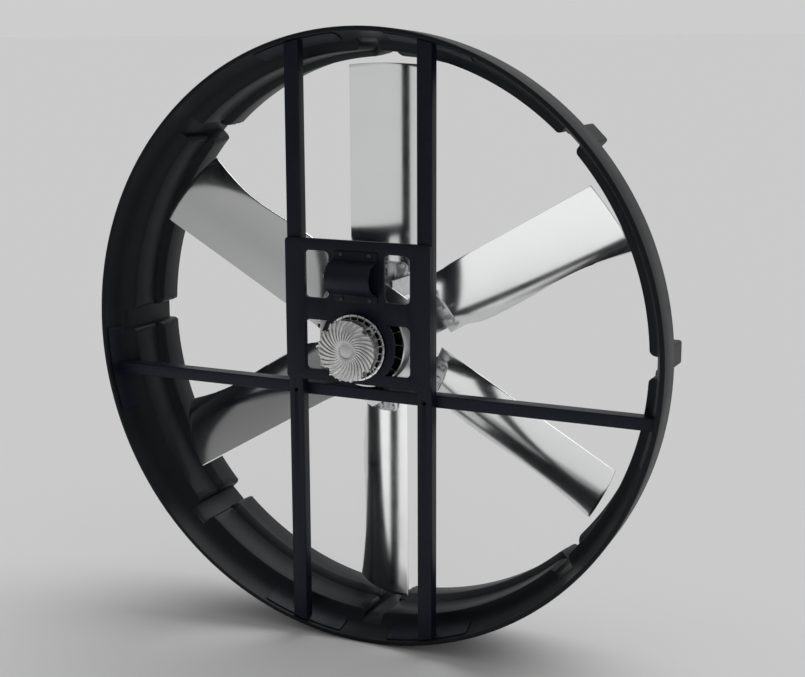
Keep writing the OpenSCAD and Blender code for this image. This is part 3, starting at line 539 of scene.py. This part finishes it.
def tube(name, x, d, z, along):
    """A tube between the end plates, its long edges rounded as drawn tube is."""
    bar = slab(name, x, d, z)
    rounded_edges(bar, lambda a, b: abs(a[along] - b[along]) > 0.5, tube_round, 4)
    room = ([(100, -1), (980, -1)] + bell(2 * sheet_gap + sheet_thick, 0, 90, 24)
            + [(bell_r, ring_rear), (100, ring_rear)])
    shaped(bar, lathe("tube_room", room, steps=192), "INTERSECT")
    return bar


for name, x in (("left_upright", -upright_x), ("right_upright", upright_x)):
    upright = tube(name + "_tube", around(x, tube_wide), (tube_front, crossbar_front),
                   (-tube_reach, tube_reach), 2)
    shaped(upright, round_bar("key_hole", x, crossbar_z, key_hole_r,
                              (tube_front - 6, crossbar_front - tube_wall)))
    eased(upright, 0.6, 40)
    fitted(upright, "frame", tube_paint, name)

crossbar = tube("crossbar_tube", (-tube_reach, tube_reach),
                (crossbar_front, crossbar_front + tube_wide), around(crossbar_z, tube_thin), 0)
eased(crossbar, 0.6, 40)
fitted(crossbar, "frame", tube_paint, "crossbar")


# --- Motor plate ------------------------------------------------------------------------
# A thick plate with four windows, flame cut and powder coated with the tubes. Round webs
# are left about the motor. Bolts hold it to the uprights from behind.

# The plate's front stands ahead of the rim, and its back lies on the uprights' front
plate_front, plate_half, plate_corner = -8.8, 256, 12
window_side, window_corner, web_r, seat_r = 187, 18, 131, 60


def upright_edge(a, b):
    return abs(a.y - b.y) > 0.005


motor_plate = slab("motor_plate_sheet", (-plate_half, plate_half), (plate_front, tube_front),
                   (-121.5, 338.6))
rounded_edges(motor_plate, upright_edge, plate_corner, 6)
for side in (-1, 1):
    upper = slab("upper_window", sorted((side * 98, side * window_side)), (-30, 30), (148, 301))
    rounded_edges(upper, upright_edge, window_corner, 8)
    shaped(motor_plate, upper)
    lower = slab("lower_window", sorted((side * 60, side * window_side)), (-30, 30), (-86, 77))
    rounded_edges(lower, upright_edge, window_corner, 8)
    shaped(lower, round_bar("motor_web", 0, 0, web_r, (-40, 40), 160))
    shaped(motor_plate, lower)
shaped(motor_plate, round_bar("motor_seat", 0, 0, seat_r, (-40, 40), 96))
eased(motor_plate, 1.2, 40, 3)
fitted(motor_plate, "frame", tube_paint, "motor_plate")


# --- Saddle -----------------------------------------------------------------------------
# Thick sheet folded to an arch with two feet, powder coated, and held to the plate by four
# small screws. It is empty: a cable or pipe could run through it.

saddle_middle, saddle_half = 224, 77
arch_r, saddle_sheet, fold_r, foot_end, foot_corner = 49, 5, 11, 81, 7
fold_place = arch_r + saddle_sheet + fold_r


def curve_of(u, v, r, a0, a1, n=20):
    """An arc of radius r about (u, v), from angle a0 to a1."""
    return [(u + r * math.cos(math.radians(a0 + (a1 - a0) * i / n)),
             v + r * math.sin(math.radians(a0 + (a1 - a0) * i / n))) for i in range(n + 1)]


# The arch and its two folds stand over the feet; the outline runs over the top and back below
outer_r, under_r = arch_r + saddle_sheet, fold_r + saddle_sheet
saddle_line = ([(-foot_end, saddle_sheet)]
               + curve_of(-fold_place, under_r, fold_r, -90, 0)
               + curve_of(0, under_r, outer_r, 180, 0)
               + curve_of(fold_place, under_r, fold_r, 180, 270)
               + [(foot_end, saddle_sheet), (foot_end, 0)]
               + curve_of(fold_place, under_r, under_r, 270, 180)
               + curve_of(0, under_r, arch_r, 0, 180)
               + curve_of(-fold_place, under_r, under_r, 0, -90)
               + [(-foot_end, 0)])
saddle = prism("saddle", [(-saddle_half / 1000, behind_rim(plate_front - out),
                           (saddle_middle + up) / 1000) for up, out in saddle_line],
               (2 * saddle_half / 1000, 0, 0))


def foot_edge(a, b):
    """True for an edge through the sheet at a corner of a foot."""
    far = abs(a.z - saddle_middle / 1000) > 0.08
    return far and abs(a.y - b.y) > 0.004 and abs(a.z - b.z) < 0.0001


rounded_edges(saddle, foot_edge, foot_corner, 4)
eased(saddle, 0.8, 40)
fitted(saddle, "frame", tube_paint, "saddle_bracket")


# --- Small screws -----------------------------------------------------------------------
# Bought steel screws with a six-sided socket. Those in the black pieces are blackened,
# the rest zinc plated. Each is one turned head on a plain shank.

def metal(name, dark, light, rough, lay=(1, 1, 1), scale=60, depth=0.00004, edge_amount=0.4,
          shine=(0.95, 0.95, 0.96), shaded_pocket=None):
    """Bare metal: lay stretches the marks that its making left, and edges rub bright.

    The last argument gives the two radii and two depths, in millimetres, of a deep pocket darkened
    with painted shade.
    """
    finish = bpy.data.materials.new(name)
    finish.use_nodes = True
    tree = finish.node_tree
    shader = tree.nodes["Principled BSDF"]
    turn = tree.nodes.new("ShaderNodeMapping")
    turn.inputs["Scale"].default_value = lay
    tree.links.new(own_place(tree), turn.inputs["Vector"])
    marks = noise_in(tree, turn.outputs["Vector"], scale, 6)
    edge = placed_group(tree, rubbed, Amount=edge_amount)
    skin = placed_group(tree, grain, Grain_Scale=scale * 12.0, Mottle_Scale=11.0)
    colour = tint(tree, spread(tree, marks, (0.3, 0.7)), dark, light)
    colour = tint(tree, edge.outputs["Mask"], colour, shine)
    # A deep pocket's colour is darkened nearly to black as painted shade
    if shaded_pocket:
        dust_and_shade = placed_group(tree, painted_shade, Inner=shaded_pocket[0] / 1000, Outer=shaded_pocket[1] / 1000,
                             Front=behind_rim(shaded_pocket[2]), Back=behind_rim(shaded_pocket[3]),
                             Amount=0.97)
        colour = tint(tree, dust_and_shade.outputs["Mask"], colour, painted_shade_colour)
    tree.links.new(colour, shader.inputs["Base Color"])
    shader.inputs["Metallic"].default_value = 1.0
    tree.links.new(spread(tree, skin.outputs["Mottle"], (0, 1), rough),
                   shader.inputs["Roughness"])
    bump = tree.nodes.new("ShaderNodeBump")
    bump.inputs["Strength"].default_value = 0.3
    bump.inputs["Distance"].default_value = depth
    tree.links.new(computed(tree, "ADD", marks, product(tree, skin.outputs["Height"], 0.4)),
                   bump.inputs["Height"])
    tree.links.new(bump.outputs["Normal"], shader.inputs["Normal"])
    return finish


black_steel = metal("black_steel", (0.035, 0.036, 0.04), (0.07, 0.071, 0.075), (0.34, 0.5),
                    scale=160, shine=(0.3, 0.3, 0.31))
zinc_steel = metal("zinc_steel", (0.56, 0.58, 0.6), (0.72, 0.73, 0.74), (0.22, 0.36), scale=120)


def screw(name, head_r, head_h, socket_r, shank_r, shank_h):
    """A screw along +y with its head's seat at the origin."""
    head = round_bar(name, 0, 0, head_r, (wall_depth - head_h, wall_depth), 40)
    shaped(head, round_bar("socket", 0, 0, socket_r, (wall_depth - head_h - 1,
                                                      wall_depth - head_h * 0.45), 6))
    eased(head, min(0.9, head_h * 0.22), 40, 3)
    shank = round_bar("shank", 0, 0, shank_r,
                      (wall_depth - head_h * 0.3, wall_depth + shank_h), 24)
    return joined(name, [head, shank])


def spot(x, d, z):
    return Matrix.Translation((x / 1000, behind_rim(d), z / 1000))


saddle_screws = copied_to(
    screw("saddle_screw", head_r=6, head_h=3.5, socket_r=2.6, shank_r=3, shank_h=13),
    [spot(x, plate_front - saddle_sheet, saddle_middle + z) for x in (-50, 50)
     for z in (-71, 71)])
fitted(saddle_screws, "frame", black_steel, "saddle_screws")

crossing_bolts = copied_to(
    screw("crossing_bolt", head_r=6.5, head_h=8, socket_r=3.4, shank_r=4, shank_h=63),
    [spot(x, crossbar_front - tube_wall, crossbar_z) for x in (-upright_x, upright_x)])
fitted(crossing_bolts, "frame", black_steel, "crossing_bolts")

flange_seat, flange_bolt_r = -18.8, 95.5
mount_bolts = copied_to(
    screw("mount_bolt", head_r=3.95, head_h=5, socket_r=2, shank_r=2.5, shank_h=19),
    [turned(45 + 90 * i + step) @ spot(flange_bolt_r, flange_seat, 0)
     for i in range(4) for step in (-3.6, 3.6)])
fitted(mount_bolts, "frame", black_steel, "motor_mount_bolts")


# --- Motor ------------------------------------------------------------------------------
# Die-cast aluminium flange and housing, with their edges broken by blasting. Columns run
# down the housing's side, and thin ribs cross the flange.

# Painted shade for a casting's deep pockets: colour darkened nearly to black between two radii and
# two depths
painted_shade, painted_shade_in, painted_shade_out = group_of(
    "painted_pocket_shade", [("Inner", 0.0), ("Outer", 0.1), ("Front", 0.0), ("Back", 0.0),
                    ("Amount", 0.0)], ["Mask"])
painted_shade_colour = (0.012, 0.012, 0.013)
painted_shade_place = painted_shade.nodes.new("ShaderNodeSeparateXYZ")
painted_shade.links.new(own_place(painted_shade), painted_shade_place.inputs[0])
painted_shade_reach = computed(painted_shade, "SQRT", computed(
    painted_shade, "ADD", computed(painted_shade, "POWER", painted_shade_place.outputs["X"], 2.0),
    computed(painted_shade, "POWER", painted_shade_place.outputs["Z"], 2.0)))
painted_shade_mask = painted_shade_in.outputs["Amount"]
for more, less in ((painted_shade_reach, painted_shade_in.outputs["Inner"]),
                   (painted_shade_in.outputs["Outer"], painted_shade_reach),
                   (painted_shade_place.outputs["Y"], painted_shade_in.outputs["Front"]),
                   (painted_shade_in.outputs["Back"], painted_shade_place.outputs["Y"])):
    painted_shade_step = spread(painted_shade, computed(painted_shade, "SUBTRACT", more, less), (-0.001, 0.001))
    painted_shade_mask = product(painted_shade, painted_shade_mask, painted_shade_step)
painted_shade.links.new(painted_shade_mask, painted_shade_out.inputs["Mask"])

# Painted shade: the flange between depths -23.2 and -10 mm, and the housing within 86 mm of the
# axis, are darkened nearly to black
flange_aluminium = metal("flange_aluminium", (0.66, 0.665, 0.67), (0.82, 0.825, 0.83),
                         (0.30, 0.44), scale=45, depth=0.0001, edge_amount=0.35,
                         shaded_pocket=(-10, 120, -23.2, -10))
housing_aluminium = metal("housing_aluminium", (0.80, 0.80, 0.80), (0.90, 0.90, 0.90),
                          (0.42, 0.56), scale=45, depth=0.0001, edge_amount=0.5,
                          shaded_pocket=(-10, 86, -60, -20))


def softened(name, node, width, angle=35):
    """A copy of a CAD node with its edges broken by a width in millimetres."""
    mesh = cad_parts[node].data.copy()
    piece = bpy.data.objects.new(name, mesh)
    bpy.context.collection.objects.link(piece)
    pick(piece)
    if mesh.has_custom_normals:
        bpy.ops.mesh.customdata_custom_splitnormals_clear()
    bpy.ops.object.mode_set(mode="EDIT")
    bpy.ops.mesh.select_all(action="SELECT")
    bpy.ops.mesh.remove_doubles(threshold=0.000005)
    bpy.ops.mesh.dissolve_limited(angle_limit=math.radians(0.4))
    bpy.ops.mesh.normals_make_consistent(inside=False)
    bpy.ops.object.mode_set(mode="OBJECT")
    eased(piece, width, angle)
    return piece


rim_gaps, gap_half = 24, 1.3
flange = softened("flange_casting", "motor_flange", 0.5)
rim_gap = slab("rim_gap", (99.8, 110), (-30, -20), (-gap_half, gap_half))
shaped(flange, copied_round(rim_gap, [(i + 0.5) * 360 / rim_gaps for i in range(rim_gaps)]))
fitted(flange, "frame", flange_aluminium, "motor_flange")
fitted(softened("housing_casting", "motor_housing", 0.5), "frame", housing_aluminium,
       "motor_housing")


# --- Finned cap -------------------------------------------------------------------------
# One aluminium casting: a disc with thirty-two thin fins that sweep back clockwise from a
# smooth centre. Four round notches clear the flange screws, and four screws sit between
# the fins.

# Depths less than zero are in front of the rim; every second fin reaches a little further
cap_r, cap_face, cap_seat = 97, -80.6, -55.8
centre_r, centre_face = 29, -83.6
fin_root, fin_half, fin_round, fin_face, fin_deep = 22, 3.0, 2.6, -84.8, 26
fin_count, fin_tips = 32, (99.5, 97)
sweep = math.radians(38) / 81
notch_r, notch_place = 10, 96


def fin(name, r_out, steps=14):
    """One fin, swept back by the same angle for each millimetre further out."""
    line = []
    for i in range(steps + 1):
        r = fin_root + i * (r_out - fin_root) / steps
        a = -sweep * (r - fin_root)
        line.append((r * math.cos(a), r * math.sin(a), a - math.atan(sweep * r)))
    left = [(u - fin_half * math.sin(a), v + fin_half * math.cos(a)) for u, v, a in line]
    right = [(u + fin_half * math.sin(a), v - fin_half * math.cos(a))
             for u, v, a in reversed(line)]
    blade = prism(name, [(u / 1000, behind_rim(fin_face), v / 1000) for u, v in left + right],
                  (0, fin_deep / 1000, 0))
    rounded_edges(blade, lambda a, b: abs(a.y - b.y) > 0.01 and a.xz.length > r_out / 1200,
                  fin_round, 3)
    return blade


def cap_notches(turn):
    return copied_round(round_bar("notch", notch_place, 0, notch_r, (-90, -50)),
                        [45 - turn + 90 * i for i in range(4)])


fins = []
for k in range(fin_count // 4):
    turn = k * 360 / fin_count
    piece = fin("fin_%d" % k, fin_tips[k % 2])
    shaped(piece, cap_notches(turn))
    fins.append(copied_round(piece, [turn + 90 * i for i in range(4)]))
fins = joined("cap_fins", fins)
eased(fins, 0.6, 50)
cap_disc = round_bar("cap_disc", 0, 0, cap_r, (cap_face, cap_seat), 160)
shaped(cap_disc, cap_notches(0))
eased(cap_disc, 1.6, 40, 3)
cap_centre = round_bar("cap_centre", 0, 0, centre_r, (centre_face, -60), 96)
eased(cap_centre, 3.5, 40, 5)
cap_casting = joined("cap_casting", [cap_disc, cap_centre, fins])
cap_aluminium = metal("cap_aluminium", (0.38, 0.38, 0.375), (0.50, 0.50, 0.495),
                      (0.24, 0.36), scale=40, depth=0.00008, edge_amount=0.5)
fitted(cap_casting, "frame", cap_aluminium, "finned_cap")


# --- Hub --------------------------------------------------------------------------------
# Cast aluminium, turned at its rim: a ribbed pocket in front, a six-sided flange and an
# arm behind each blade. It is screwed to the drum of the rotor.

# Painted shade darkens the hub's ribbed pocket nearly to black
hub_aluminium = metal("hub_aluminium", (0.58, 0.585, 0.59), (0.74, 0.745, 0.75),
                      (0.28, 0.42), scale=38, depth=0.0001, edge_amount=0.4,
                      shaded_pocket=(60, 134, 53, 150))
fitted(softened("hub_casting", "hub", 0.8), "rotor", hub_aluminium, "hub")


# --- Blades -----------------------------------------------------------------------------
# Six bright aluminium sheets, each pressed to one section over its whole length: nearly
# flat at the leading edge and curled back at the trailing edge. That edge is cut to a slow
# wave and runs out to its widest at the tip.

blade_aluminium = metal("blade_aluminium", (0.845, 0.85, 0.85), (0.87, 0.875, 0.875),
                        (0.13, 0.16), scale=6, depth=0.000002, edge_amount=0.2)

# Across a blade s runs from lead_s at its leading edge down past zero, square to its length
blade_count, root_r, tip_r, root_part = 6, 200.3, 885, 0.09
lead_s, trail_s, blade_sheet = 100.5, 97, 4
blade_front, blade_pitch, tail_drop, tip_width = 154, 0.277, 58, 237.27
station_shares = [0, root_part, 0.16, 0.3, 0.44, 0.58, 0.73, 0.87, 1]
trail_shares = [0.95, 0.95, 1.08, 1.14, 1.13, 1.09, 1.11, 1.24, 1.41]


def trail_at(t):
    """The trailing edge's place at t of the blade's length, on a smooth curve."""
    at, shares = station_shares, trail_shares

    def slope(k):
        a, b = max(k - 1, 0), min(k + 1, len(at) - 1)
        return 0 if k < 2 else (shares[b] - shares[a]) / (at[b] - at[a])

    i = max(k for k in range(len(at) - 1) if at[k] <= t)
    h = at[i + 1] - at[i]
    w = (t - at[i]) / h
    return trail_s * ((2 * w ** 3 - 3 * w ** 2 + 1) * shares[i]
                      + (w ** 3 - 2 * w ** 2 + w) * h * slope(i)
                      + (3 * w ** 2 - 2 * w ** 3) * shares[i + 1]
                      + (w ** 3 - w ** 2) * h * slope(i + 1))


def section_depth(s):
    """Depth of the blade's front face at s, the same over its whole length."""
    across = lead_s - s
    return blade_front + blade_pitch * across + tail_drop * (across / tip_width) ** 3


across_n, along_n = 48, 56
blade_points = []
for i in range(along_n + 1):
    t = i / along_n
    width = lead_s + trail_at(t)
    for j in range(across_n + 1):
        s = lead_s - width * j / across_n
        reach = tip_r if t < root_part else math.sqrt(tip_r ** 2 - s ** 2)
        r = root_r + t * (reach - root_r)
        blade_points.append((r / 1000, behind_rim(section_depth(s)), s / 1000))
blade_faces = [(k, k + 1, k + across_n + 2, k + across_n + 1)
               for i in range(along_n) for j in range(across_n)
               for k in [i * (across_n + 1) + j]]
for i in range(blade_count):
    blade = new_piece("blade_%d_sheet" % (i + 1), blade_points, [], blade_faces)
    blade.data.transform(turned(90 - i * 360 / blade_count))
    pulled_out(blade, (0, blade_sheet / 1000, 0))
    eased(blade, 0.6, 50)
    fitted(blade, "rotor", blade_aluminium, "blade_%d" % (i + 1))


# --- Blade clamps -----------------------------------------------------------------------
# A pressed aluminium plate lies over each blade's root, and four bolts draw it and the
# blade down on the hub's arm. The bolts stand square to the curved sheet.

clamp_aluminium = metal("clamp_aluminium", (0.44, 0.445, 0.45), (0.58, 0.585, 0.59),
                        (0.24, 0.34), lay=(1, 1, 3), scale=50, edge_amount=0.5)
fitted(softened("clamp_plates", "blade_clamps", 0.8), "rotor", clamp_aluminium,
       "blade_clamps")

clamp_sheet = 4.5
bolt_spots = ((232, -56), (232, -7), (232, 40), (163, -30))


def seat_on_band(s):
    """Depth and tilt of the root's front face, which is flat between the CAD's ten marks."""
    step = (lead_s + trail_s * trail_shares[0]) / 10
    j = min(9, max(0, math.floor((lead_s - s) / step)))
    a = lead_s - j * step
    w = (a - s) / step
    depth = section_depth(a) * (1 - w) + section_depth(a - step) * w
    return depth, math.atan((section_depth(a - step) - section_depth(a)) / step)


bolt_places = []
for i in range(blade_count):
    for r, s in bolt_spots:
        depth, tilt = seat_on_band(s)
        bolt_places.append(turned(30 + i * 360 / blade_count) @ spot(r, depth - clamp_sheet, s)
                           @ Matrix.Rotation(tilt, 4, "X"))
clamp_bolts = copied_to(
    screw("clamp_bolt", head_r=7, head_h=5, socket_r=2.4, shank_r=4, shank_h=25), bolt_places)
white_zinc = metal("white_zinc", (0.84, 0.85, 0.86), (0.93, 0.93, 0.94), (0.46, 0.58),
                   scale=120)
fitted(clamp_bolts, "rotor", white_zinc, "clamp_bolts")


# --- Rest of the hardware and the motor's inside ----------------------------------------
# These CAD nodes keep their own shapes: nuts, inserts and bolts behind the tubes, and
# the laminations, coils, bearings, magnets and drum inside the motor.

def refinished(finish, *nodes):
    for name in nodes:
        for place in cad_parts[name].material_slots:
            place.material = finish


insert_brass = metal("insert_brass", (0.52, 0.36, 0.13), (0.68, 0.49, 0.2), (0.24, 0.38),
                     scale=140, shine=(0.85, 0.7, 0.4))
coil_copper = metal("coil_copper", (0.42, 0.14, 0.05), (0.62, 0.25, 0.09), (0.22, 0.36),
                    lay=(1, 12, 1), scale=90, depth=0.0003, shine=(0.8, 0.4, 0.2))
ground_steel = metal("ground_steel", (0.55, 0.56, 0.57), (0.7, 0.71, 0.72), (0.12, 0.22),
                     lay=(1, 8, 1), scale=120)
stacked_steel = metal("stacked_steel", (0.16, 0.165, 0.175), (0.3, 0.305, 0.315),
                      (0.36, 0.5), lay=(0.4, 30, 0.4), scale=60, depth=0.0002)
gland_plastic = coated("gland_plastic", (0.02, 0.02, 0.022), (0.03, 0.03, 0.033),
                       rough=(0.42, 0.55), grain_scale=1100, grain_depth=0.0001,
                       dust_amount=0.1, edge_amount=0.2)
board_laminate = coated("board_laminate", (0.01, 0.06, 0.02), (0.02, 0.1, 0.035),
                        rough=(0.2, 0.3), grain_scale=900, grain_depth=0.00005,
                        dust_amount=0.1, edge_amount=0.2, coat=0.6)
refinished(insert_brass, "wall_inserts")
refinished(zinc_steel, "end_plate_nuts", "crossing_nuts", "plate_bolts", "cap_screws",
           "hub_screws", "rotor_drum")
refinished(gland_plastic, "cable_gland")
refinished(board_laminate, "drive_board")
refinished(stacked_steel, "stator_core", "rotor_magnets")
refinished(coil_copper, "stator_windings")
refinished(ground_steel, "bearing_front", "bearing_rear", "shaft")
refinished(black_steel, "retaining_ring")
